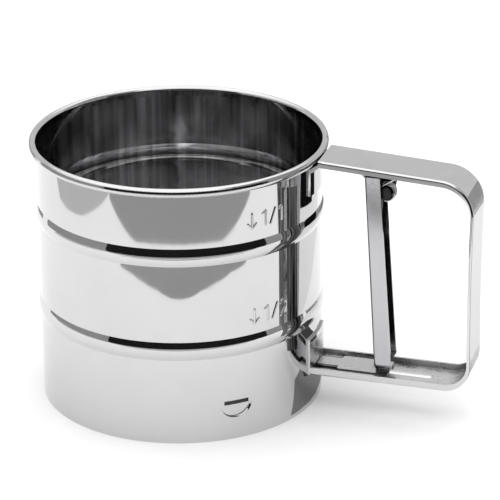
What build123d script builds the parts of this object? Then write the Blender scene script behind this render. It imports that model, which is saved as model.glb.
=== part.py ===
"""Squeeze-handle flour sifter, one cup with a fine mesh, in millimetres.

The origin is the centre of the cup's bottom edge, +Z is up and +X points to the handle.
Squeezing the trigger lever swings its foot outwards, the foot pulls the slide plate, and the
slide plate turns the agitator above the mesh.
"""
import os
from math import asin, atan2, cos, degrees, radians, sin, tan

from build123d import *

# Sheet and cup
SHEET = 0.5
STRIP = 0.8
CUP_R = 50.0
BORE_R = CUP_R - SHEET
CURL_R = 50.85
CURL_Z = 93.0
CURL_HALF_WIDTH = 1.35
CURL_HALF_HEIGHT = 1.6
CURL_JOINT_AT = 14.0
CURL_JOINT_WIDTH = 0.7
BEADS = ((31.4, 38.1), (66.0, 72.5))
BEAD_RISE = 0.75

# Lanced ledges that carry the mesh
LEDGE_Z = 12.8
LEDGE_FIRST = -50.0
LEDGE_COUNT = 3
SLIT_LENGTH = 9.0
SLIT_HEIGHT = 1.8
DIMPLE_WIDTH = 11.5
DIMPLE_HEIGHT = 4.7
DIMPLE_DEPTH = 3.4
POCKET_DEPTH = 0.9

# Mesh pack: frame ring, screen and clamp ring, with a bar across its middle
RING_BORE_R = 44.5
FRAME_R = 49.35
FRAME_TOP = 14.0
SCREEN_Z = 13.3
SCREEN_R = 48.6
SCREEN_THICK = 0.3
CLAMP_R = 48.75
BAR_WIDTH = 10.0
BAR_LENGTH = 97.2
BAR_ANGLE = 100.0
BAR_RIB_LENGTH = 86.0
BAR_RIB_DEPTH = 1.8

# Centre pivot and agitator
PIVOT_R = 2.5
PIVOT_HEAD_R = 4.0
RUNNING_GAP = 0.05
HUB_R = 4.2
HUB_Z = (14.05, 22.2)
HUB_PLATE_R = 10.0
BLADE_TOP = 21.4
BLADE_LOW = 13.85
BLADE_RAISED = 15.25
BLADE_ROOT_Z = 16.25
BLADE_R = 43.9
BLADE_FLANGE = 3.0
CAP_Z = 22.4
CAP_THICK = 0.6

# Drive: trigger lever, slide plate and crank
HINGE_X, HINGE_Z = 70.6, 84.4
SQUEEZE = 14.5
CRANK_R = 20.0
CRANK_PIN_R = 1.6
CRANK_SLOT_GAP = 0.3
SLIDE_Z = 14.2
SLIDE_NECK = 6.0
FOOT_X = 72.4
FOOT_WIDTH = 2.4
FOOT_END_Z = 10.9
FOOT_REACH = HINGE_Z - SLIDE_Z - STRIP / 2
FOOT_OFFSET = FOOT_X - HINGE_X
STROKE = FOOT_REACH * tan(radians(SQUEEZE)) + FOOT_OFFSET / cos(radians(SQUEEZE)) - FOOT_OFFSET
CRANK_X = -STROKE / 2
CRANK_Y = -(CRANK_R**2 - CRANK_X**2) ** 0.5

# Handle strip
HANDLE_WIDTH = 17.8
HANDLE_BASE_Z = 12.9
HANDLE_OUT_X = 107.2
HANDLE_WAIST_X = 106.6
HANDLE_START_X = 52.6
HANDLE_TOP_Z = 93.4
HANDLE_FALL = tan(radians(3.3))
TOP_CORNER_R = 12.5
BASE_CORNER_R = 9.5
TOP_FLANGE = 2.2
SIDE_FLANGE = 1.1
BASE_FLANGE = 2.6
TAB_TOP = (80.3, 90.4)
TAB_BASE = (HANDLE_BASE_Z, 26.2)
SLOT_WIDTH = 3.3
SLOT_X = (70.6, 91.7)

# Trigger lever: a channel, open on its outer side
LEVER_WIDTH = 8.8
LEVER_TOP_Z = 87.7
LEVER_WEB_TOP_Z = 85.4
LEVER_BASE_Z = 16.9
LEVER_BODY_X = 67.8
LEVER_OUT_X = 73.3
LEVER_REF_Z = 85.0
LEVER_BODY_LEAN = 0.0595
LEVER_OUT_LEAN = 0.0713
PIN_R = 1.25

# Return spring and its post
SPRING_X, SPRING_Z = 74.7, 81.6
WIRE = 0.8
COIL_R = 2.9
COIL_TURNS = 5
POST_R = 2.3
LEG_ANGLE = 33.0


def top_arm_z(x):
    """Height of the top arm's upper face."""
    return HANDLE_TOP_Z - (x - HANDLE_START_X) * HANDLE_FALL


def lever_body_x(z):
    """Face of the lever that looks at the cup."""
    return LEVER_BODY_X + (LEVER_REF_Z - z) * LEVER_BODY_LEAN


def lever_out_x(z):
    """Free edges of the lever's two flanges."""
    return LEVER_OUT_X + (LEVER_REF_Z - z) * LEVER_OUT_LEAN


def write(piece, name):
    piece.part.label = name
    export_step(piece.part, f"parts/{name}.step")


def dome(radius, z, height):
    """Arc from a rim of the given radius up to the apex on the axis."""
    ball = (radius**2 + height**2) / (2 * height)
    middle = asin(radius / ball) / 2
    centre = z + height - ball
    ThreePointArc((radius, z), (ball * sin(middle), centre + ball * cos(middle)), (0, z + height))


def ring(z, height, outer_r, inner_r):
    """Flat washer or ring standing on height z."""
    with BuildPart() as piece:
        with BuildSketch(Plane.XY.offset(z)):
            Circle(outer_r)
            Circle(inner_r, mode=Mode.SUBTRACT)
        extrude(amount=height)
    return piece


def wall_line(radius):
    """One side of the cup's wall from the bottom edge up, bulged at each bead."""
    start = (radius, 0)
    for low, high in BEADS:
        Line(start, (radius, low))
        ThreePointArc((radius, low), (radius + BEAD_RISE, (low + high) / 2), (radius, high))
        start = (radius, high)
    Line(start, (radius, CURL_Z))


def cup_shell():
    slide_z = SLIDE_Z + STRIP / 2
    with BuildPart() as cup:
        with BuildSketch(Plane.XZ):
            with BuildLine():
                wall_line(CUP_R)
                Line((CUP_R, CURL_Z), (BORE_R, CURL_Z))
                wall_line(BORE_R)
                Line((BORE_R, 0), (CUP_R, 0))
            make_face()
            with Locations((CURL_R, CURL_Z)):
                Ellipse(CURL_HALF_WIDTH, CURL_HALF_HEIGHT)
        revolve(axis=Axis.Z)
        for index in range(LEDGE_COUNT):
            ledge(LEDGE_FIRST + index * 360 / LEDGE_COUNT)
        # Slot through the wall for the slide plate
        with Locations((CUP_R, 0, slide_z)):
            Box(6, SLIDE_NECK + 1, STRIP + 0.6, mode=Mode.SUBTRACT)
        # Butt joint of the rolled rim
        with BuildSketch(Plane.XZ.rotated((0, 0, CURL_JOINT_AT))):
            with Locations((CUP_R + CURL_HALF_WIDTH + 1.1, CURL_Z)):
                Rectangle(2.2, 2 * CURL_HALF_HEIGHT + 1)
        extrude(amount=CURL_JOINT_WIDTH / 2, both=True, mode=Mode.SUBTRACT)
    return cup


def ledge(angle):
    """Half-round dimple pressed inwards below a slit, added to the open cup.

    Its floor is flat along the wall, and the skin above it is the ledge that the frame ring rests on.
    """
    squash = (2 * DIMPLE_DEPTH / DIMPLE_WIDTH, 1, 2 * DIMPLE_HEIGHT / DIMPLE_WIDTH)
    hollow = scale(Sphere(DIMPLE_WIDTH / 2, mode=Mode.PRIVATE), by=squash, mode=Mode.PRIVATE)
    grown = 1 + 2 * SHEET / DIMPLE_WIDTH
    skin = scale(
        Sphere(DIMPLE_WIDTH / 2 * grown, mode=Mode.PRIVATE),
        by=(2 * (DIMPLE_DEPTH + SHEET) / DIMPLE_WIDTH / grown, 1, squash[2]),
        mode=Mode.PRIVATE,
    )
    below = Pos(0, 0, -20) * Box(40, 40, 40, mode=Mode.PRIVATE)
    inside = Cylinder(CUP_R - SHEET / 2, 60, mode=Mode.PRIVATE)
    pocket_floor = Cylinder(CUP_R - POCKET_DEPTH, 60, mode=Mode.PRIVATE)
    skin_back = Cylinder(CUP_R - POCKET_DEPTH - SHEET, 60, mode=Mode.PRIVATE)
    # Centred just outside the wall, so that neither bowl has its pole on a face of the wall
    place = Rot(0, 0, angle) * Pos(CUP_R + 0.1, 0, LEDGE_Z)
    add(((place * (skin & below)) & inside) - skin_back)
    add((place * (hollow & below)) - pocket_floor, mode=Mode.SUBTRACT)
    slit = Pos(CUP_R, 0, LEDGE_Z + SLIT_HEIGHT / 2) * Box(6, SLIT_LENGTH, SLIT_HEIGHT, mode=Mode.PRIVATE)
    add(Rot(0, 0, angle) * slit, mode=Mode.SUBTRACT)


def mesh_frame_ring():
    """Flat ring with an upturned edge that the screen lies in."""
    with BuildPart() as piece:
        with BuildSketch(Plane.XZ):
            with BuildLine():
                Polyline(
                    (RING_BORE_R, LEDGE_Z),
                    (FRAME_R, LEDGE_Z),
                    (FRAME_R, FRAME_TOP),
                    (FRAME_R - SHEET, FRAME_TOP),
                    (FRAME_R - SHEET, SCREEN_Z),
                    (RING_BORE_R, SCREEN_Z),
                    close=True,
                )
            make_face()
        revolve(axis=Axis.Z)
    return piece


def bridge_bar():
    """Strip under the mesh that carries the pivot, with a rib turned down on each side."""
    with BuildPart() as piece:
        with BuildSketch(Plane.XY.offset(LEDGE_Z - STRIP)):
            SlotOverall(BAR_LENGTH, BAR_WIDTH)
        extrude(amount=STRIP)
        with BuildSketch(Plane.XY.offset(LEDGE_Z - STRIP)):
            with Locations((0, (BAR_WIDTH - STRIP) / 2), (0, -(BAR_WIDTH - STRIP) / 2)):
                Rectangle(BAR_RIB_LENGTH, STRIP)
        extrude(amount=-BAR_RIB_DEPTH)
        corners = piece.edges().filter_by(Axis.Y).group_by(Axis.Z)[0]
        chamfer(corners, BAR_RIB_DEPTH * 0.8)
        with Locations((0, 0, LEDGE_Z)):
            Hole(PIVOT_R)
    # Turned so that both ends rest on the ring between two ledges
    piece.part = Rot(0, 0, BAR_ANGLE) * piece.part
    return piece


def pivot_rivet():
    """Shouldered rivet: low head under the bar, peened dome above the cap washer."""
    bar_under = LEDGE_Z - STRIP
    cap_top = CAP_Z + CAP_THICK
    with BuildPart() as piece:
        with BuildSketch(Plane.XZ):
            with BuildLine():
                Polyline(
                    (0, bar_under - 1.1),
                    (PIVOT_HEAD_R - 0.5, bar_under - 1.1),
                    (PIVOT_HEAD_R, bar_under - 0.6),
                    (PIVOT_HEAD_R, bar_under),
                    (PIVOT_R, bar_under),
                    (PIVOT_R, cap_top),
                    (PIVOT_HEAD_R - 0.2, cap_top),
                )
                dome(PIVOT_HEAD_R - 0.2, cap_top, 1.6)
                Line((0, cap_top + 1.6), (0, bar_under - 1.1))
            make_face()
        revolve(axis=Axis.Z)
    return piece


def agitator_hub():
    """Bush that turns on the rivet."""
    with BuildPart() as piece:
        with BuildSketch(Plane.XY.offset(HUB_Z[0])):
            Circle(HUB_R)
            Circle(PIVOT_R + RUNNING_GAP, mode=Mode.SUBTRACT)
        extrude(amount=HUB_Z[1] - HUB_Z[0])
        chamfer(piece.edges().filter_by(GeomType.CIRCLE).sort_by(SortBy.RADIUS)[-2:], 0.3)
    return piece


def agitator_plate():
    """Disc around the top of the hub that the blades are welded under."""
    return ring(BLADE_TOP, STRIP, HUB_PLATE_R, HUB_R)


def agitator_blade(angle, low):
    """Upright strip with a stiffening flange folded over along its top."""
    with BuildPart() as piece:
        with BuildSketch(Plane.XZ):
            with BuildLine():
                Polyline(
                    (HUB_R, BLADE_ROOT_Z),
                    (HUB_R + 3, BLADE_ROOT_Z),
                    (HUB_R + 4, low),
                    (BLADE_R - 3, low),
                    (BLADE_R, low + 2.2),
                    (BLADE_R, BLADE_TOP - 3),
                    (BLADE_R - 3, BLADE_TOP),
                    (HUB_R, BLADE_TOP),
                    close=True,
                )
            make_face()
        extrude(amount=STRIP / 2, both=True)
        with BuildSketch(Plane.XY.offset(BLADE_TOP - STRIP)):
            with Locations(((HUB_R + BLADE_R - 4.5) / 2, BLADE_FLANGE / 2)):
                Rectangle(BLADE_R - 4.5 - HUB_R, BLADE_FLANGE)
        extrude(amount=STRIP)
        # The hub's round side bounds the inner end
        Cylinder(HUB_R, 60, mode=Mode.SUBTRACT)
    piece.part = Rot(0, 0, angle) * piece.part
    return piece


def crank_arm(angle):
    """Flat link that is welded round the hub and carries the crank pin."""
    z = SLIDE_Z + STRIP + 0.2
    with BuildPart() as piece:
        with BuildSketch(Plane.XY.offset(z)):
            Circle(HUB_R + 2.4)
            with Locations((CRANK_R / 2, 0)):
                Rectangle(CRANK_R, 6.4)
            with Locations((CRANK_R, 0)):
                Circle(3.2)
                Circle(CRANK_PIN_R, mode=Mode.SUBTRACT)
            Circle(HUB_R, mode=Mode.SUBTRACT)
        extrude(amount=STRIP)
    piece.part = Rot(0, 0, angle) * piece.part
    return piece


def crank_pin():
    """Pin that hangs from the crank arm into the slide plate's cross slot."""
    arm_top = SLIDE_Z + 2 * STRIP + 0.2
    with BuildPart() as piece:
        with BuildSketch(Plane.XZ):
            with BuildLine():
                Polyline(
                    (0, BLADE_LOW),
                    (CRANK_PIN_R, BLADE_LOW),
                    (CRANK_PIN_R, arm_top),
                    (2.6, arm_top),
                )
                dome(2.6, arm_top, 1.1)
                Line((0, arm_top + 1.1), (0, BLADE_LOW))
            make_face()
        revolve(axis=Axis.Z)
    piece.part = Pos(CRANK_X, CRANK_Y, 0) * piece.part
    return piece


def slide_plate():
    """Flat link: a wide pad under the lever, a neck through the wall, an arm to the crank."""
    pad_from, pad_to, pad_width = 58.7, 77.0, 10.6
    neck_from = CUP_R - STROKE - 2.5
    end_y = (CRANK_Y - CRANK_R) / 2
    play = CRANK_PIN_R + CRANK_SLOT_GAP
    half = SLIDE_NECK / 2
    with BuildPart() as piece:
        with BuildSketch(Plane.XY.offset(SLIDE_Z)) as outline:
            with Locations(((pad_from + pad_to) / 2, 0)):
                RectangleRounded(pad_to - pad_from, pad_width, 0.8)
            with Locations(((neck_from + pad_from) / 2 + 1, 0)):
                Rectangle(pad_from - neck_from + 2, SLIDE_NECK)
            with BuildLine():
                Polyline(
                    (neck_from, half),
                    (CRANK_X, end_y + half),
                    (CRANK_X, end_y - half),
                    (neck_from + 1.4, -half),
                    (neck_from + 1.4, half),
                    close=True,
                )
            make_face()
            with Locations((CRANK_X, end_y)):
                RectangleRounded(2 * play + 4.4, 2 * play + 4.4 + (CRANK_R + CRANK_Y), 2)
        extrude(amount=STRIP)
        with BuildSketch(Plane.XY.offset(SLIDE_Z)):
            with Locations((CRANK_X, end_y)):
                SlotOverall(2 * play + (CRANK_R + CRANK_Y), 2 * play, rotation=90)
            with Locations((FOOT_X + 0.15, 0)):
                Rectangle(2.1, FOOT_WIDTH + 0.5)
        extrude(amount=STRIP, mode=Mode.SUBTRACT)
    return piece


def loop_outline(top_in, side_in, base_in, top_r, base_r):
    """Side view of the handle loop, drawn inwards from its outer face by the three depths."""
    far = HANDLE_OUT_X - side_in
    waist = HANDLE_WAIST_X - side_in
    top_far = top_arm_z(far) - top_in
    base = HANDLE_BASE_Z + base_in
    near = CUP_R - 6
    with BuildLine() as border:
        Polyline((near, top_arm_z(near) - top_in), (near, base), (far, base))
        ThreePointArc((far, base), (waist, (base + top_far) / 2), (far, top_far))
        Line((far, top_far), (near, top_arm_z(near) - top_in))
    outline = make_face(border.edges())
    corners = outline.vertices().group_by(Axis.X)[-1].sort_by(Axis.Y)
    rounded = fillet(corners[0], base_r)
    top_corner = rounded.vertices().sort_by_distance((far, top_far, 0))[0]
    fillet(top_corner, top_r)


def handle_strip():
    """One bent channel: tab, top arm, outer grip, bottom arm, tab."""
    half = HANDLE_WIDTH / 2
    with BuildPart() as piece:
        with BuildSketch(Plane.XZ):
            loop_outline(0, 0, 0, TOP_CORNER_R, BASE_CORNER_R)
        extrude(amount=half, both=True)
        edges = piece.edges().filter_by(lambda e: abs(abs(e.center().Y) - half) < 0.01)
        rounded = edges.filter_by(lambda e: e.center().X > CUP_R - 5.9)
        fillet(rounded, 0.75)
        with BuildSketch(Plane.XZ):
            loop_outline(STRIP, STRIP, STRIP, TOP_CORNER_R - STRIP, BASE_CORNER_R - STRIP)
        extrude(amount=half - STRIP, both=True, mode=Mode.SUBTRACT)
        with BuildSketch(Plane.XZ):
            loop_outline(TOP_FLANGE, SIDE_FLANGE, BASE_FLANGE, TOP_CORNER_R - 1.6, BASE_CORNER_R - 1.8)
        extrude(amount=half + 1, both=True, mode=Mode.SUBTRACT)
        # The loop stops at the cup below and just outside the rolled rim above
        with BuildSketch(Plane.XZ):
            with Locations(((HANDLE_START_X + 30) / 2, 60)):
                Rectangle(HANDLE_START_X - 30, 80)
        extrude(amount=half + 1, both=True, mode=Mode.SUBTRACT)
        tab(TAB_TOP)
        tab(TAB_BASE)
        # Joggle from the top tab out round the rim
        with BuildSketch(Plane.XZ):
            with BuildLine():
                Polyline(
                    (CUP_R - 1.5, TAB_TOP[1] - 2.2),
                    (CUP_R + STRIP, TAB_TOP[1] - 1.2),
                    (HANDLE_START_X + STRIP + 0.2, TAB_TOP[1] + 1.4),
                    (HANDLE_START_X + STRIP + 0.2, top_arm_z(HANDLE_START_X + 1) - 0.2),
                    (HANDLE_START_X, top_arm_z(HANDLE_START_X) - 0.3),
                    (HANDLE_START_X, TAB_TOP[1] + 1.8),
                    (CUP_R - 1.5, TAB_TOP[1] - 1.0),
                    close=True,
                )
            make_face()
        extrude(amount=half - 0.05, both=True)
        Cylinder(CUP_R, 200, align=(Align.CENTER, Align.CENTER, Align.CENTER), mode=Mode.SUBTRACT)
        # Slot that guides the lever's foot, window for the slide plate, bend reliefs
        with BuildSketch(Plane.XY.offset(HANDLE_BASE_Z - 1)):
            with Locations((sum(SLOT_X) / 2, 0)):
                RectangleRounded(SLOT_X[1] - SLOT_X[0], SLOT_WIDTH, 0.5)
            with Locations((54.6, 7.0), (54.6, -7.0)):
                SlotOverall(6.4, 1.2)
        extrude(amount=STRIP + 1.1, mode=Mode.SUBTRACT)
        with Locations((CUP_R, 0, SLIDE_Z + STRIP / 2)):
            Box(6, SLIDE_NECK + 1, STRIP + 0.6, mode=Mode.SUBTRACT)
    return piece


def tab(span):
    """Curved end of the strip that lies on the cup's wall, added to the open handle."""
    with BuildSketch(Plane.XY.offset(span[0])) as section:
        Circle(CUP_R + STRIP)
        Circle(CUP_R - 0.4, mode=Mode.SUBTRACT)
        with Locations((CUP_R, 0)):
            Rectangle(12, HANDLE_WIDTH, mode=Mode.INTERSECT)
    extrude(section.sketch, amount=span[1] - span[0])


def ear_outline(right_side):
    """Side view of one ear: shared left side, and its own right side."""
    left = [
        (64.6, top_arm_z(64.6) - STRIP),
        (64.6, top_arm_z(64.6) - 2 * STRIP - 0.8),
        (67.9, 86.5),
        (69.0, 85.3),
        (69.05, 84.0),
        (69.8, 82.0),
    ]
    with BuildLine() as border:
        Polyline(*left, *right_side, close=True)
    make_face(border.edges())


def pivot_bracket():
    """Folded bracket under the top arm: short near ear, long far ear that holds the spring post."""
    outer, inner = 3.4, 2.6
    with BuildPart() as piece:
        with BuildSketch(Plane.XZ.offset(inner)):
            ear_outline([(71.4, 81.9), (72.6, 83.2), (73.2, 86.0), (73.4, top_arm_z(73.4) - STRIP)])
        extrude(amount=outer - inner)
        with BuildSketch(Plane.XZ.offset(-outer)):
            ear_outline(
                [
                    (70.9, 79.4),
                    (72.8, 77.9),
                    (75.6, 77.9),
                    (76.6, 81.4),
                    (77.5, 84.9),
                    (79.4, top_arm_z(79.4) - 2 * STRIP - 0.8),
                    (79.4, top_arm_z(79.4) - STRIP),
                ]
            )
        extrude(amount=outer - inner)
        with BuildSketch(Plane.XZ):
            with BuildLine():
                Polyline(
                    (64.6, top_arm_z(64.6) - STRIP),
                    (79.4, top_arm_z(79.4) - STRIP),
                    (79.4, top_arm_z(79.4) - 2 * STRIP),
                    (64.6, top_arm_z(64.6) - 2 * STRIP),
                    close=True,
                )
            make_face()
        extrude(amount=inner, both=True)
        with BuildSketch(Plane.XZ):
            with Locations((HINGE_X, HINGE_Z)):
                Circle(PIN_R)
        extrude(amount=10, both=True, mode=Mode.SUBTRACT)
        with BuildSketch(Plane.XZ.offset(-outer - 1)):
            with Locations((SPRING_X, SPRING_Z)):
                Circle(POST_R)
        extrude(amount=3, mode=Mode.SUBTRACT)
    return piece


def hinge_pin():
    """Flush pin that the lever hangs on."""
    with BuildPart() as piece:
        with BuildSketch(Plane.XZ):
            with Locations((HINGE_X, HINGE_Z)):
                Circle(PIN_R)
        extrude(amount=LEVER_WIDTH / 2, both=True)
    return piece


def spring_post():
    """Stud riveted in the far ear, which the spring's coil sits on."""
    with BuildPart() as piece:
        with BuildSketch(Plane.XZ.offset(-3.4)):
            with Locations((SPRING_X, SPRING_Z)):
                Circle(POST_R)
        extrude(amount=3.4 + 2.5)
        chamfer(piece.faces().sort_by(Axis.Y)[0].edges(), 0.4)
    return piece


def return_spring():
    """Torsion spring: close-wound coil, one leg up to the top arm and one down in the lever."""
    coil_half = WIRE * COIL_TURNS / 2
    leg_r = WIRE * 0.48
    up = radians(LEG_ANGLE)
    # The upper leg starts a little before its tangent point and ends just under the arm
    start_x = SPRING_X - COIL_R * sin(up) - WIRE * cos(up)
    start_z = SPRING_Z + COIL_R * cos(up) - WIRE * sin(up)
    rise = (top_arm_z(83.0) - STRIP - 0.8 - start_z) / sin(up)
    foot_z = 58.0
    foot_x = lever_body_x(foot_z) + STRIP + WIRE / 2 + 0.1
    down = Vector(foot_x - (SPRING_X - COIL_R), 0, foot_z - SPRING_Z)
    with BuildPart() as piece:
        with BuildSketch(Plane.XZ):
            with Locations((SPRING_X, SPRING_Z)):
                Circle(COIL_R + WIRE / 2)
                Circle(COIL_R - WIRE / 2, mode=Mode.SUBTRACT)
        extrude(amount=coil_half, both=True)
        near = Plane(origin=(start_x, -coil_half + WIRE / 2, start_z), z_dir=(cos(up), 0, sin(up)))
        with BuildSketch(near):
            Circle(leg_r)
        extrude(amount=rise)
        with BuildSketch(Plane(origin=(SPRING_X - COIL_R, coil_half - WIRE / 2, SPRING_Z), z_dir=down)):
            Circle(leg_r)
        extrude(amount=down.length)
    return piece


def trigger_lever():
    """Channel that hangs on the hinge pin, with a narrow foot below its web."""
    half = LEVER_WIDTH / 2
    with BuildPart() as piece:
        with BuildSketch(Plane.XZ):
            with BuildLine():
                Polyline(
                    (lever_body_x(LEVER_BASE_Z), LEVER_BASE_Z),
                    (lever_out_x(LEVER_BASE_Z), LEVER_BASE_Z),
                    (lever_out_x(LEVER_TOP_Z), LEVER_TOP_Z),
                    (lever_body_x(LEVER_TOP_Z), LEVER_TOP_Z),
                    close=True,
                )
            side = make_face()
            fillet(side.vertices().sort_by(Axis.Z)[-2:].sort_by(Axis.X)[-1], 3.0)
        extrude(amount=half, both=True)
        long_edges = piece.edges().filter_by(lambda e: e.length > 60)
        fillet(long_edges.group_by(Axis.X)[0], 0.9)
        with BuildSketch(Plane.XZ):
            with BuildLine():
                Polyline(
                    (lever_body_x(0) + STRIP, 0),
                    (lever_out_x(0) + 10, 0),
                    (lever_out_x(100) + 10, 100),
                    (lever_body_x(100) + STRIP, 100),
                    close=True,
                )
            make_face()
        extrude(amount=half - STRIP, both=True, mode=Mode.SUBTRACT)
        # The web stops below the bracket's ears
        with BuildSketch(Plane.XZ):
            with Locations((lever_body_x(LEVER_TOP_Z) - 1, LEVER_WEB_TOP_Z)):
                Rectangle(3.2, 6, align=(Align.MIN, Align.MIN))
        extrude(amount=half - STRIP, both=True, mode=Mode.SUBTRACT)
        with BuildSketch(Plane.XZ):
            with Locations((HINGE_X, HINGE_Z)):
                Circle(PIN_R + RUNNING_GAP)
        extrude(amount=10, both=True, mode=Mode.SUBTRACT)
        with BuildSketch(Plane.XZ):
            with BuildLine():
                Polyline(
                    (lever_body_x(LEVER_BASE_Z + 2), LEVER_BASE_Z + 2),
                    (lever_body_x(LEVER_BASE_Z + 2) + STRIP, LEVER_BASE_Z + 2),
                    (lever_body_x(FOOT_END_Z) + STRIP, FOOT_END_Z),
                    (lever_body_x(FOOT_END_Z), FOOT_END_Z),
                    close=True,
                )
            make_face()
        extrude(amount=FOOT_WIDTH / 2, both=True)
        tip = piece.faces().sort_by(Axis.Z)[0].edges().filter_by(Axis.X, tolerance=10)
        chamfer(tip, 0.7)
    return piece


os.makedirs("parts", exist_ok=True)

write(cup_shell(), "cup_shell")
write(mesh_frame_ring(), "mesh_frame_ring")
write(ring(SCREEN_Z, SCREEN_THICK, SCREEN_R, PIVOT_R), "mesh_screen")
screen_top = SCREEN_Z + SCREEN_THICK
write(ring(screen_top, FRAME_TOP - screen_top, CLAMP_R, RING_BORE_R), "mesh_clamp_ring")
write(bridge_bar(), "bridge_bar")
write(ring(LEDGE_Z, SCREEN_Z - LEDGE_Z, 5.5, PIVOT_R), "centre_spacer")
write(ring(screen_top, 0.4, 6.0, PIVOT_R), "wear_washer")
write(pivot_rivet(), "pivot_rivet")
write(ring(CAP_Z, CAP_THICK, 5.2, PIVOT_R), "cap_washer")

crank_at = degrees(atan2(CRANK_Y, CRANK_X))
write(agitator_hub(), "agitator_hub")
write(agitator_plate(), "agitator_plate")
for number in range(4):
    # The first blade sweeps over the slide plate, so its lower edge is raised
    lower_edge = BLADE_RAISED if number == 0 else BLADE_LOW
    write(agitator_blade(crank_at + 45 + 90 * number, lower_edge), f"agitator_blade_{number + 1}")
write(crank_arm(crank_at), "crank_arm")
write(crank_pin(), "crank_pin")

write(slide_plate(), "slide_plate")
write(handle_strip(), "handle_strip")
write(pivot_bracket(), "pivot_bracket")
write(hinge_pin(), "hinge_pin")
write(spring_post(), "spring_post")
write(return_spring(), "return_spring")
write(trigger_lever(), "trigger_lever")

print(f"slide stroke {STROKE:.3f} mm, slide per squeeze {STROKE / radians(SQUEEZE) / 1000:.5f} m/rad")
print(f"agitator swing {2 * degrees(atan2(-CRANK_X, -CRANK_Y)):.2f} degrees")
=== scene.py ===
"""Looks of the squeeze-handle flour sifter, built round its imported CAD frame, in metres."""
import math

import bpy
from mathutils import Matrix, Vector


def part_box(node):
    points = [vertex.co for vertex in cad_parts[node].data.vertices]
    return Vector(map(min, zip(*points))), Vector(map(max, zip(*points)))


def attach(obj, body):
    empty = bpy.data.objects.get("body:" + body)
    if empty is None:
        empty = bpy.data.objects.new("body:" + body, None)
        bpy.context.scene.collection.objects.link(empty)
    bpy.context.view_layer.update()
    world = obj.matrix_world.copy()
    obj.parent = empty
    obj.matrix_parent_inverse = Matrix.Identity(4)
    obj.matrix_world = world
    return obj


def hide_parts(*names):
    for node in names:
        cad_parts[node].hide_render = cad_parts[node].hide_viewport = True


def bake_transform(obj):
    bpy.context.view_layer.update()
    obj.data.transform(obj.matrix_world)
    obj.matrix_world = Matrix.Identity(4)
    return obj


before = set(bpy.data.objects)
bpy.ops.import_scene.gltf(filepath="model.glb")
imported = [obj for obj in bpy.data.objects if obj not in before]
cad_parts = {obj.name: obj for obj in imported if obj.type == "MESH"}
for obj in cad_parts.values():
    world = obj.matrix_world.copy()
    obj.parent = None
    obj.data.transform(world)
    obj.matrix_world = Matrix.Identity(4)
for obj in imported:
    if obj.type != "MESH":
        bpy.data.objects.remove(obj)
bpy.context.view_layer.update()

MM = 0.001
CUP_R = 50.0 * MM
RIM_HEIGHT = 3.3 * MM

# Camera: the handle points 17 degrees towards it, and it looks down on the cup
VIEW_AZIMUTH = math.radians(17.0)
VIEW_DOWN = math.radians(23.15)
VIEW_ROLL = math.radians(-0.38)
VIEW_DISTANCE = 0.9516
VIEW_TARGET_OUT = 24.46 * MM
VIEW_TARGET_UP = 50.83 * MM
LENS = 193.7
VIEW_RIGHT = Vector((math.cos(VIEW_AZIMUTH), math.sin(VIEW_AZIMUTH), 0))
VIEW_AHEAD = Vector((-math.sin(VIEW_AZIMUTH), math.cos(VIEW_AZIMUTH), 0))
UP = Vector((0, 0, 1))

# Woven screen
SCREEN_PITCH = 1.4 * MM
SCREEN_WIRE_R = 0.12 * MM
SCREEN_HUB_R = 3.2 * MM
SCREEN_LIFT = SCREEN_WIRE_R * 0.92
SCREEN_WIRE_SIDES = 4

# Return spring
SPRING_WIRE_R = 0.4 * MM
SPRING_COIL_R = 2.9 * MM
SPRING_CENTRE = Vector((74.7, 0, 81.6)) * MM
SPRING_PITCH = 0.82 * MM
SPRING_LEG_ANGLE = math.radians(33.0)
SPRING_END_ANGLE = math.radians(177.4)
SPRING_TURNS = 4
SPRING_STEPS_PER_TURN = 28
SPRING_WIRE_SIDES = 12
SPRING_UPPER_STEPS = 6
SPRING_LOWER_STEPS = 20
SPRING_TIP_GAP = 0.3 * MM
SPRING_FOOT_INSET = SPRING_WIRE_R * 0.96

# Level marks pressed outwards in the wall; steps, caps and advances are in mark heights
MARK_HEIGHT = 5.8 * MM
MARK_STROKE = 0.42 * MM
MARK_RISE = 0.3 * MM
MARK_SIDES = 12
MARK_STEP = 0.06
MARK_CAP = 0.01
ARROW_ADVANCE = 0.98
FIGURE_ADVANCE = 0.62

# Sizes of a stroke's cross-section at its two endmost points
MARK_END_SIZES = (0.05, 0.72)

# Fineness of the steel's patterns, in cells per metre; the round ones by arc, radius and height
HAIR_ALONG = 30.0
HAIR_ACROSS = 1500.0
HAIR_ROUND = (18.0, 900.0, 1400.0)
RIPPLE_ROUND = (60.0, 1.0, 5.0)
RIPPLE_FLAT = (32.0, 32.0, 32.0)
STREAK_ROUND = (420.0, 1.0, 9.0)
CLOUD_GRAIN = 55.0
SMEAR_GRAIN = 210.0

# Masks: position times normal is -0.05 m on the wall's inner face, and the arm's limits
FACING_IN = -0.02
ARM_SIDE_MARGIN = 0.6 * MM
ARM_UNDERSIDE_MARGIN = 0.5 * MM
ARM_HEIGHT = 12 * MM

# Painted shade: the steel's colour darkened in its corners, where shade falls
PAINTED_SHADE_REACH = 3.5 * MM
PAINTED_SHADE_COLOUR = (0.03, 0.03, 0.028, 1)

# Studio: radii of the upright cards in millimetres, and the sky's strength low down and overhead
TABLE_EDGE = 331
BACK_FLAG = 380
BACKDROP = 620
SKY_STRENGTH = (1.05, 1.65)
SKY_RAMP = (0.5, 0.8)


# ---------------------------------------------------------------- helpers

def new_object(name, mesh):
    """Object for a mesh, linked to the scene."""
    obj = bpy.data.objects.new(name, mesh)
    bpy.context.scene.collection.objects.link(obj)
    return obj


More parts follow.
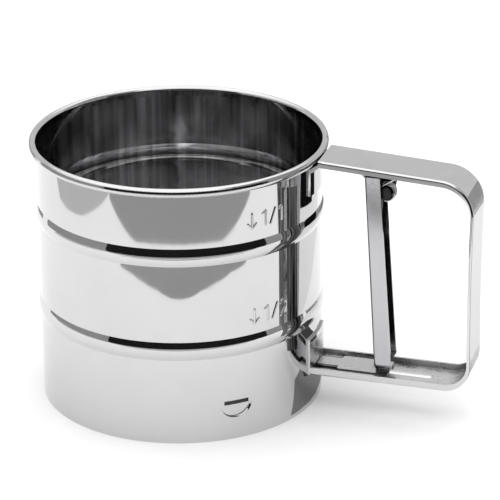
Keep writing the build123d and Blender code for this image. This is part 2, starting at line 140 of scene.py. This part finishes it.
def mesh_object(name, verts, faces, material, smooth_angle=None):
    """Smooth-shaded mesh; edges sharper than smooth_angle degrees stay sharp when it is given."""
    mesh = bpy.data.meshes.new(name)
    mesh.from_pydata(verts, [], faces)
    mesh.materials.append(material)
    for face in mesh.polygons:
        face.use_smooth = True
    if smooth_angle is not None:
        mesh.set_sharp_from_angle(angle=math.radians(smooth_angle))
    return new_object(name, mesh)


def studio(right, front, up=0.0):
    """Point in millimetres as seen from the camera: to the right, towards it, up."""
    return (VIEW_RIGHT * right - VIEW_AHEAD * front + UP * up) * MM


def around(radius, angle):
    """Right and front distances of a point on a circle, from the camera's direction."""
    return radius * math.sin(math.radians(angle)), radius * math.cos(math.radians(angle))


def steps(first, last, count):
    """Evenly spaced numbers from first to last, both included."""
    return [first + (last - first) * i / (count - 1) for i in range(count)]


class Nodes:
    """Short spellings for building one material's node tree."""

    def __init__(self, name):
        self.material = bpy.data.materials.new(name)
        self.material.use_nodes = True
        self.tree = self.material.node_tree
        self.tree.nodes.clear()
        self.output = self.tree.nodes.new("ShaderNodeOutputMaterial")
        self.shader = self.tree.nodes.new("ShaderNodeBsdfPrincipled")
        self.link(self.shader.outputs[0], self.output.inputs["Surface"])

    def node(self, kind, **settings):
        made = self.tree.nodes.new(kind)
        for key, value in settings.items():
            setattr(made, key, value)
        return made

    def link(self, source, target):
        self.tree.links.new(source, target)

    def feed(self, target, value):
        if isinstance(value, bpy.types.NodeSocket):
            self.link(value, target)
        else:
            target.default_value = value

    def math(self, operation, *values, clamp=False):
        made = self.node("ShaderNodeMath", operation=operation, use_clamp=clamp)
        for socket, value in zip(made.inputs, values):
            self.feed(socket, value)
        return made.outputs[0]

    def position(self):
        return self.node("ShaderNodeTexCoord").outputs["Object"]

    def split(self, vector):
        made = self.node("ShaderNodeSeparateXYZ")
        self.link(vector, made.inputs[0])
        return made.outputs

    def join(self, x, y, z):
        made = self.node("ShaderNodeCombineXYZ")
        for socket, value in zip(made.inputs, (x, y, z)):
            self.feed(socket, value)
        return made.outputs[0]

    def noise(self, vector, scale, detail=3.0, roughness=0.55, distortion=0.0):
        made = self.node("ShaderNodeTexNoise")
        self.link(vector, made.inputs["Vector"])
        made.inputs["Scale"].default_value = scale
        made.inputs["Detail"].default_value = detail
        made.inputs["Roughness"].default_value = roughness
        made.inputs["Distortion"].default_value = distortion
        return made.outputs["Fac"]

    def remap(self, value, low, high, new_low, new_high):
        made = self.node("ShaderNodeMapRange", clamp=True)
        for socket, number in zip(made.inputs, (value, low, high, new_low, new_high)):
            self.feed(socket, number)
        return made.outputs[0]

    def scaled(self, coordinates, factors):
        return self.join(*(self.math("MULTIPLY", c, f) for c, f in zip(coordinates, factors)))

    def mix(self, factor, first, second, blend="MIX"):
        made = self.node("ShaderNodeMix", data_type="RGBA", blend_type=blend)
        self.link(factor, made.inputs[0])
        self.feed(made.inputs[6], first)
        self.feed(made.inputs[7], second)
        return made.outputs[2]

    def tint(self, factor, dark, light):
        return self.mix(factor, (*dark, 1), (*light, 1))

    def bump(self, height, distance, strength=1.0, under=None):
        made = self.node("ShaderNodeBump")
        made.inputs["Strength"].default_value = strength
        made.inputs["Distance"].default_value = distance
        self.link(height, made.inputs["Height"])
        if under is not None:
            self.link(under, made.inputs["Normal"])
        return made.outputs["Normal"]


# ---------------------------------------------------------------- materials

def round_the_axis(n):
    """Coordinates that follow the cup's wall: arc length, radius, height."""
    x, y, z = n.split(n.position())
    angle = n.math("ARCTAN2", y, x)
    radius = n.math("SQRT", n.math("ADD", n.math("MULTIPLY", x, x), n.math("MULTIPLY", y, y)))
    return n.math("MULTIPLY", angle, CUP_R), radius, z


def inside_of_cup(n):
    """1 on surfaces below the rolled rim that face the cup's axis, 0 on the others."""
    x, y, z = n.split(n.position())
    below_rim = n.math("LESS_THAN", z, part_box("cup_shell")[1][2] - RIM_HEIGHT)
    nx, ny, _ = n.split(n.node("ShaderNodeTexCoord").outputs["Normal"])
    outward = n.math("ADD", n.math("MULTIPLY", x, nx), n.math("MULTIPLY", y, ny))
    return n.math("MULTIPLY", n.math("LESS_THAN", outward, FACING_IN), below_rim)


def inside_of_base_arm(n):
    """1 on the upper side of the handle's bottom arm, between its two flanges."""
    low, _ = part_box("handle_strip")
    _, y, z = n.split(n.position())
    between = n.math("LESS_THAN", n.math("ABSOLUTE", y), -low[1] - ARM_SIDE_MARGIN)
    above = n.math("GREATER_THAN", z, low[2] + ARM_UNDERSIDE_MARGIN)
    below = n.math("LESS_THAN", z, low[2] + ARM_HEIGHT)
    return n.math("MULTIPLY", between, n.math("MULTIPLY", above, below))


def grain_lines(n, hair_along):
    """Coordinates of the polishing hairlines and of the sheet's slow ripple."""
    if hair_along == "ROUND":
        place = round_the_axis(n)
        return n.scaled(place, HAIR_ROUND), n.scaled(place, RIPPLE_ROUND)
    place = n.split(n.position())
    hair = [HAIR_ALONG if axis == hair_along else HAIR_ACROSS for axis in "XYZ"]
    return n.scaled(place, hair), n.scaled(place, RIPPLE_FLAT)


def cloudy_gloss(n, rough, scratch, clouds, hairlines, smears):
    """Roughness that varies slowly, with scratches and finger smears."""
    gloss = n.math(
        "ADD",
        n.remap(clouds, 0.35, 0.7, rough * 0.75, rough * 1.3),
        n.remap(hairlines, 0.5, 0.75, 0.0, rough * scratch),
    )
    return n.math("ADD", gloss, n.remap(smears, 0.55, 0.75, 0.0, rough * 0.35))


def with_painted_shade(n, colour, painted_shade):
    """The colour, darkened where surfaces meet in a corner: painted shade."""
    corner = n.node("ShaderNodeAmbientOcclusion", samples=6)
    corner.inputs["Distance"].default_value = PAINTED_SHADE_REACH
    corner_shade = n.remap(corner.outputs["AO"], 0.25, 0.85, painted_shade, 0.0)
    return n.mix(corner_shade, colour, PAINTED_SHADE_COLOUR)


def brushed_inside_painted_streaks(n, gloss, colour):
    """Inner face: only a brush finish, with streaks down the wall; the colour's streaks are painted
    reflections.
    """
    inner = inside_of_cup(n)
    streaks = n.noise(n.scaled(round_the_axis(n), STREAK_ROUND), 1.0)
    gloss = n.math("ADD", gloss, n.math("MULTIPLY", inner, n.remap(streaks, 0.3, 0.7, 0.02, 0.09)))
    # Painted reflection: lighter and darker streaks in the inner face's colour
    shade = n.tint(n.remap(streaks, 0.35, 0.65, 0.0, 1.0), (0.75,) * 3, (1.4,) * 3)
    return gloss, n.mix(inner, colour, shade, "MULTIPLY")


def steel(
    name, colour, rough, hair, wave=0.0, hair_along="X", scratch=0.3, painted_shade=0.0, dull=None, brushed_painted_streaks=False
):
    """Steel with polishing hairlines, cloudy gloss and, on thin sheet, a faint waviness.

    hair is the height of the hairlines and wave the height of the sheet's slow ripple, in metres.
    The corner darkening, from 0 to 1, is painted shade where surfaces meet. dull gives a mask of the
    places that were never polished. The last argument is for the cup, whose inner face has only a brush
    finish, with lighter and darker reflection streaks painted into its colour.
    """
    n = Nodes(name)
    n.shader.inputs["Metallic"].default_value = 1.0
    lines, ripple = grain_lines(n, hair_along)
    hairlines = n.noise(lines, 1.0, detail=2.0)
    clouds = n.noise(n.position(), CLOUD_GRAIN, detail=4.0)
    smears = n.noise(n.position(), SMEAR_GRAIN, detail=3.0, distortion=0.6)
    gloss = cloudy_gloss(n, rough, scratch, clouds, hairlines, smears)
    if dull is not None:
        gloss = n.math("ADD", gloss, n.math("MULTIPLY", dull(n), n.remap(smears, 0.35, 0.65, 0.16, 0.34)))
    shaded = n.tint(n.remap(clouds, 0.3, 0.7, 0.0, 1.0), [c * 0.965 for c in colour], colour)
    # Painted shade: the colour darkens where ambient occlusion finds a corner
    if painted_shade:
        shaded = with_painted_shade(n, shaded, painted_shade)
    # Inside the cup: gloss streaks from brushing, and painted reflection streaks in the colour
    if brushed_painted_streaks:
        gloss, shaded = brushed_inside_painted_streaks(n, gloss, shaded)
    n.link(gloss, n.shader.inputs["Roughness"])
    n.link(shaded, n.shader.inputs["Base Color"])
    normal = n.bump(hairlines, hair)
    if wave:
        normal = n.bump(n.noise(ripple, 1.0, detail=2.0), wave, under=normal)
    n.link(normal, n.shader.inputs["Normal"])
    return n.material


cup_steel = steel(
    "polished_cup_steel", (0.60, 0.60, 0.605), 0.04, 3e-7, wave=4e-5, hair_along="ROUND", brushed_painted_streaks=True
)
strip_steel = steel(
    "polished_strip_steel", (0.64, 0.64, 0.645), 0.05, 5e-7, wave=2e-5, painted_shade=0.5, dull=inside_of_base_arm
)
lever_steel = steel(
    "polished_lever_steel", (0.50, 0.50, 0.51), 0.12, 1e-6, wave=2e-5, hair_along="Z", painted_shade=0.7
)
satin_steel = steel("stamped_steel", (0.58, 0.58, 0.59), 0.22, 2e-6, painted_shade=0.8)
round_steel = steel("turned_steel", (0.60, 0.60, 0.61), 0.2, 2e-6, hair_along="ROUND", painted_shade=0.85)
# Painted shade: nearly black steel for the frame ring, seen through the wall's slit, and for the spring
# post inside the coil, which sit in shade
shade_dark_steel = steel("painted_shade_dark_steel", (0.05, 0.05, 0.05), 0.3, 2e-6, painted_shade=0.9)
wire_steel = steel("drawn_wire", (0.58, 0.58, 0.59), 0.2, 1e-6, hair_along="Z", painted_shade=0.6)
spring_wire = steel("spring_wire", (0.74, 0.74, 0.75), 0.1, 1e-6, hair_along="Z", painted_shade=0.9)

MATERIALS = {
    "cup_shell": cup_steel,
    "handle_strip": strip_steel,
    "trigger_lever": lever_steel,
    "hinge_pin": lever_steel,
    "slide_plate": satin_steel,
    "pivot_bracket": satin_steel,
    "spring_post": shade_dark_steel,
    "mesh_frame_ring": shade_dark_steel,
    "mesh_clamp_ring": round_steel,
    "mesh_screen": wire_steel,
    "return_spring": spring_wire,
}
for name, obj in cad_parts.items():
    obj.data.materials.clear()
    obj.data.materials.append(MATERIALS.get(name, satin_steel))


# ---------------------------------------------------------------- tubes

def skin_tube(first, count, sides, faces):
    """Side faces and both end faces of a tube whose rings of points start at index first."""
    for i in range(count - 1):
        a, b = first + i * sides, first + (i + 1) * sides
        for k in range(sides):
            j = (k + 1) % sides
            faces.append((a + k, a + j, b + j, b + k))
    faces.append(tuple(first + k for k in reversed(range(sides))))
    faces.append(tuple(first + (count - 1) * sides + k for k in range(sides)))


def tube(path, radius, sides, verts, faces):
    """Closed round wire along a list of points, added to verts and faces."""
    count = len(path)
    side = None
    first = len(verts)
    for i, point in enumerate(path):
        along = (path[min(i + 1, count - 1)] - path[max(i - 1, 0)]).normalized()
        if side is None:
            side = along.orthogonal()
        side = (side - along * side.dot(along)).normalized()
        other = along.cross(side)
        for k in range(sides):
            turn = 2 * math.pi * k / sides
            verts.append(point + (side * math.cos(turn) + other * math.sin(turn)) * radius)
    skin_tube(first, count, sides, faces)


# ---------------------------------------------------------------- woven screen

def woven_screen():
    """Plain weave: every wire passes over and under the crossing ones in turn."""
    low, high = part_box("mesh_screen")
    reach = high[0]
    middle = (low[2] + high[2]) / 2
    verts, faces = [], []
    lines = int(reach / SCREEN_PITCH)
    for direction in (0, 1):
        for row in range(-lines, lines + 1):
            across = (row + 0.5) * SCREEN_PITCH
            half = math.sqrt(max(reach**2 - across**2, 0))
            stops = [-half, half]
            if abs(across) < SCREEN_HUB_R:
                hub = math.sqrt(SCREEN_HUB_R**2 - across**2)
                stops = [-half, -hub, hub, half]
            for start, end in zip(stops[::2], stops[1::2]):
                if end - start < SCREEN_PITCH:
                    continue
                path = []
                first = math.ceil(start / SCREEN_PITCH * 2)
                last = math.floor(end / SCREEN_PITCH * 2)
                places = [start] + [k * SCREEN_PITCH / 2 for k in range(first, last + 1)] + [end]
                for place in places:
                    phase = place / SCREEN_PITCH - 0.5 + row + direction
                    z = middle + SCREEN_LIFT * math.cos(math.pi * phase)
                    point = (place, across, z) if direction == 0 else (across, place, z)
                    path.append(Vector(point))
                tube(path, SCREEN_WIRE_R, SCREEN_WIRE_SIDES, verts, faces)
    obj = mesh_object("woven_screen", verts, faces, wire_steel)
    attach(obj, "body")
    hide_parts("mesh_screen")


# ---------------------------------------------------------------- return spring

def return_spring():
    """Close-wound coil on the post, one leg up to the arm and one down inside the lever."""
    low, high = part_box("return_spring")
    up = Vector((math.cos(SPRING_LEG_ANGLE), 0, math.sin(SPRING_LEG_ANGLE)))
    begin = math.pi / 2 + SPRING_LEG_ANGLE
    foot = Vector((low[0] + SPRING_FOOT_INSET, 0, low[2] + SPRING_WIRE_R))

    def on_coil(angle, y):
        out = Vector((math.cos(angle), 0, math.sin(angle)))
        return SPRING_CENTRE + out * SPRING_COIL_R + Vector((0, y, 0))

    end = SPRING_END_ANGLE + 2 * math.pi * SPRING_TURNS
    half = SPRING_PITCH * (end - begin) / (2 * math.pi) / 2
    coil = []
    count = SPRING_STEPS_PER_TURN * SPRING_TURNS + 1
    for i in range(count):
        t = i / (count - 1)
        coil.append(on_coil(begin + (end - begin) * t, half * (2 * t - 1)))
    leg = (high[2] - SPRING_TIP_GAP - coil[0].z) / up.z
    upper = [coil[0] + up * leg * (1 - k / SPRING_UPPER_STEPS) for k in range(SPRING_UPPER_STEPS)]
    down = Vector((foot.x, coil[-1].y, foot.z)) - coil[-1]
    lower = [coil[-1] + down * k / SPRING_LOWER_STEPS for k in range(1, SPRING_LOWER_STEPS + 1)]
    path = upper + coil + lower
    verts, faces = [], []
    tube(path, SPRING_WIRE_R, SPRING_WIRE_SIDES, verts, faces)
    obj = mesh_object("torsion_spring", verts, faces, spring_wire, 50)
    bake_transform(obj)
    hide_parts("return_spring")


# ---------------------------------------------------------------- level marks

# Strokes in a box one unit high
ARROW = ([(0.33, 1.0), (0.33, 0.02)], [(0.02, 0.36), (0.33, 0.0), (0.64, 0.36)])
ONE = ([(0.04, 0.76), (0.3, 1.0), (0.3, 0.0)],)
TWO = (
    [(0.03, 0.74), (0.09, 0.91), (0.28, 1.0), (0.48, 0.91), (0.53, 0.72), (0.45, 0.5)]
    + [(0.02, 0.0), (0.56, 0.0)],
)
BAR = ([(0.0, -0.02), (0.42, 1.02)],)


def rounded_path(points, spacing):
    """Points close together along a stroke, its corners a little rounded."""
    path = [Vector(points[0])]
    for a, b in zip(points, points[1:]):
        a, b = Vector(a), Vector(b)
        count = max(2, math.ceil((b - a).length / spacing))
        path += [a.lerp(b, k / count) for k in range(1, count + 1)]
    for _ in range(2):
        inner = [(path[i - 1] + path[i] * 2 + path[i + 1]) / 4 for i in range(1, len(path) - 1)]
        path = [path[0]] + inner + [path[-1]]
    return path


def pressed_stroke(points, azimuth, base, verts, faces):
    """Raised line on the cup's wall, half of it sunk in the wall, with round ends."""
    sides = MARK_SIDES
    path = rounded_path(points, MARK_STEP)
    before = path[0] + (path[0] - path[1]).normalized() * MARK_CAP
    after = path[-1] + (path[-1] - path[-2]).normalized() * MARK_CAP
    path = [before] + path + [after]
    first = len(verts)
    count = len(path)
    for i, point in enumerate(path):
        edge = min(i, count - 1 - i)
        size = MARK_END_SIZES[edge] if edge < len(MARK_END_SIZES) else 1.0
        along = (path[min(i + 1, count - 1)] - path[max(i - 1, 0)]).normalized()
        sideways = Vector((-along.y, along.x))
        for k in range(sides):
            turn = 2 * math.pi * k / sides
            offset = sideways * math.cos(turn) * MARK_STROKE * size
            rise = math.sin(turn) * MARK_RISE * size
            bearing = azimuth + (point.x * MARK_HEIGHT + offset.x) / CUP_R
            radius = CUP_R + rise
            z = base + point.y * MARK_HEIGHT + offset.y
            verts.append(Vector((radius * math.cos(bearing), radius * math.sin(bearing), z)))
    skin_tube(first, count, sides, faces)


def level_mark(name, azimuth, base, figures):
    """Arrow that points down at the bead below it, and the share of the cup's fill."""
    verts, faces = [], []
    place = math.radians(azimuth)
    gap = MARK_HEIGHT / CUP_R
    for glyph in (ARROW, *figures):
        for stroke in glyph:
            pressed_stroke(stroke, place, base, verts, faces)
        place += (ARROW_ADVANCE if glyph is ARROW else FIGURE_ADVANCE) * gap
    obj = mesh_object(name, verts, faces, cup_steel)
    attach(obj, "body")


# ---------------------------------------------------------------- stage, light and camera

def matt(name, tone):
    """Matt paper or paint with a faint mottle."""
    n = Nodes(name)
    grain = n.noise(n.position(), 40.0, detail=3.0)
    n.link(n.tint(grain, (tone * 0.975,) * 3, (tone * 1.01,) * 3), n.shader.inputs["Base Color"])
    n.link(n.remap(grain, 0.3, 0.7, 0.55, 0.65), n.shader.inputs["Roughness"])
    n.shader.inputs["Specular IOR Level"].default_value = 0.0
    return n.material


def streaked(name):
    """Matt card with dark and lighter streaks from top to bottom."""
    n = Nodes(name)
    upright = n.scaled(n.split(n.position()), (900.0, 900.0, 14.0))
    streaks = n.remap(n.noise(upright, 1.0, detail=3.0, distortion=0.4), 0.42, 0.64, 0.0, 1.0)
    n.link(n.tint(streaks, (0.02,) * 3, (0.42,) * 3), n.shader.inputs["Base Color"])
    n.shader.inputs["Roughness"].default_value = 0.6
    n.shader.inputs["Specular IOR Level"].default_value = 0.0
    return n.material


def add_floor():
    """Pale floor that fills the picture."""
    half = 3.0
    corners = [(-half, -half, 0), (half, -half, 0), (half, half, 0), (-half, half, 0)]
    mesh_object("floor", corners, [(0, 1, 2, 3)], matt("pale_floor", 0.95))


def only_reflected(card):
    """A studio flag outside the picture, or a card by the handle that paints a dark reflection: it is
    seen in the steel and nowhere else.
    """
    card.visible_camera = False
    card.visible_diffuse = False
    card.visible_shadow = False
    card.visible_transmission = False


def flat_card(name, outline, material, height=0.4):
    """Card lying on the table, its outline given as right and front distances."""
    verts = [studio(right, front, height) for right, front in outline]
    only_reflected(mesh_object(name, verts, [tuple(range(len(verts)))], material))


def wall_card(name, radius, first, last, low, high, material):
    """Upright card bent round the table, between two angles from the camera's direction."""
    count = max(2, int(abs(last - first) / 4) + 1)
    verts, faces = [], []
    for angle in steps(first, last, count):
        verts.append(studio(*around(radius, angle), low))
        verts.append(studio(*around(radius, angle), high))
    for i in range(count - 1):
        faces.append((2 * i, 2 * i + 2, 2 * i + 3, 2 * i + 1))
    only_reflected(mesh_object(name, verts, faces, material))


def upright_card(name, start, end, low, high, material):
    """Flat upright card between two points given as right and front distances."""
    verts = [studio(*place, up) for place, up in ((start, low), (end, low), (end, high), (start, high))]
    only_reflected(mesh_object(name, verts, [(0, 1, 2, 3)], material))


# Where the cards come from: the outlines of front_card, near_card, left_card and the two stripes, and
# the places of the three small flags by the handle, were found outside this script by following
# reflections in the photograph back through the fitted camera. They are stage pieces, not object.

def arc_points(radius, first, last, count):
    """Points on a circle round the cup's axis, between two angles from the camera's direction."""
    return [around(radius, angle) for angle in steps(first, last, count)]


def add_front_cards(mid, light, black):
    """Grey table edge and black flag in front, which show on the cup's wall and beads."""
    inner = [(-203, 168)] + arc_points(224, -31, 31, 9) + [(214, 158)]
    flat_card("front_card", inner + arc_points(TABLE_EDGE + 1, 58, -52, 12), mid)
    vee = [(-131, 146), (-104, 160), (-74, 168), (-46, 172), (-19, 170)]
    vee += [(21, 170), (47, 171), (76, 166), (113, 153), (148, 129)]
    flat_card("near_card", vee + arc_points(206, 46, -40, 9), mid)
    left = [(-209, 169), (-221, 101), (-230, 20), (-234, -39), (-251, -62), (-420, -100), (-420, 340)]
    flat_card("left_card", left, light)
    wall_card("front_flag", TABLE_EDGE, -53, 65, 0, 235, black)
    wall_card("left_flag", TABLE_EDGE, -115, -53, 0, 215, mid)
    wall_card("right_flag", TABLE_EDGE, 65, 95, 0, 215, mid)


def add_handle_cards(mid, dark, black, streaky):
    """Dark stripes and small flags round the handle, which show on the wall beside it.
    The flags and the cards under the handle and by the foot are painted reflections.
    """
    flat_card("right_stripe", [(112, 40), (189, 44), (330, 66), (330, 44), (150, 30), (112, 31)], dark)
    flat_card("rear_stripe", [(110, 25), (150, 21), (330, 4), (330, -75), (180, -20), (106, 6)], dark)
    # Cards under the handle and by the cup's foot: painted dark reflections on the lower wall
    flat_card("under_handle_card", [(66, 12), (101, 6), (108, -14), (84, -26), (58, -12)], dark)
    flat_card("side_foot_card", arc_points(51.5, 52, 112, 7) + [(72, -30), (90, -8), (68, 22)], mid, 0.2)
    # Two flags 8 to 14 mm from the wall, which show as the dark band beside the level marks: a painted
    # reflection of the lever and handle
    upright_card("outer_band_flag", (52, 37.2), (52, 33.9), 24, 82, streaky)
    upright_card("inner_band_flag", (52, 31.9), (52, 25.3), 20, 82, streaky)
    # Black flag by the top tab: a painted reflection, the black bar on the wall beside the tab
    upright_card("handle_flag", (89, 9), (82, -15), 57, 73, black)


def add_rear_cards(mid, pale, soft, backdrop):
    """Cards behind, which show on the handle's top arm, corner and grip."""
    flat_card("rear_card", [(116, -4), (180, -22), (330, -78), (330, -280), (150, -170)], pale)
    flat_card("corner_card", arc_points(254, 112, 152, 9) + arc_points(BACK_FLAG - 1, 152, 112, 9), soft)
    wall_card("back_flag", BACK_FLAG, 108, 235, 0, 110, mid)
    wall_card("back_drop", BACKDROP, 112, 250, 120, 520, backdrop)
    wall_card("side_drop", BACKDROP, 40, 112, 160, 1000, mid)


def add_world():
    """White sky, brighter overhead."""
    world = bpy.data.worlds.new("studio")
    world.use_nodes = True
    tree = world.node_tree
    background = tree.nodes["Background"]
    background.inputs[0].default_value = (1, 1, 1, 1)
    place = tree.nodes.new("ShaderNodeTexCoord")
    split = tree.nodes.new("ShaderNodeSeparateXYZ")
    ramp = tree.nodes.new("ShaderNodeMapRange")
    tree.links.new(place.outputs["Generated"], split.inputs[0])
    tree.links.new(split.outputs[2], ramp.inputs[0])
    for socket, number in zip(ramp.inputs[1:5], SKY_RAMP + SKY_STRENGTH):
        socket.default_value = number
    tree.links.new(ramp.outputs[0], background.inputs[1])
    bpy.context.scene.world = world


def add_camera():
    """Camera at the photograph's viewing angle."""
    forward = VIEW_AHEAD * math.cos(VIEW_DOWN) - UP * math.sin(VIEW_DOWN)
    target = VIEW_RIGHT * VIEW_TARGET_OUT + UP * VIEW_TARGET_UP
    data = bpy.data.cameras.new("camera")
    data.lens = LENS
    data.sensor_width = 36.0
    data.clip_start = 0.01
    data.clip_end = 20.0
    camera = bpy.data.objects.new("camera", data)
    bpy.context.scene.collection.objects.link(camera)
    turn = forward.to_track_quat("-Z", "Y").to_matrix().to_4x4()
    camera.matrix_world = (
        Matrix.Translation(target - forward * VIEW_DISTANCE) @ turn @ Matrix.Rotation(VIEW_ROLL, 4, "Z")
    )
    bpy.context.scene.camera = camera


woven_screen()
return_spring()
level_mark("upper_level_mark", -44.9, 77.0 * MM, (ONE, BAR, ONE))
level_mark("lower_level_mark", -44.0, 41.8 * MM, (ONE, BAR, TWO))

add_floor()
mid_grey = matt("grey_card", 0.33)
nearly_black = matt("black_card", 0.012)
add_front_cards(mid_grey, matt("light_grey_card", 0.52), nearly_black)
add_handle_cards(mid_grey, matt("dark_card", 0.06), nearly_black, streaked("streaked_card"))
add_rear_cards(mid_grey, matt("pale_card", 0.8), matt("soft_dark_card", 0.2), matt("backdrop_card", 0.62))
add_world()
add_camera()
bpy.context.scene.view_settings.view_transform = "Standard"
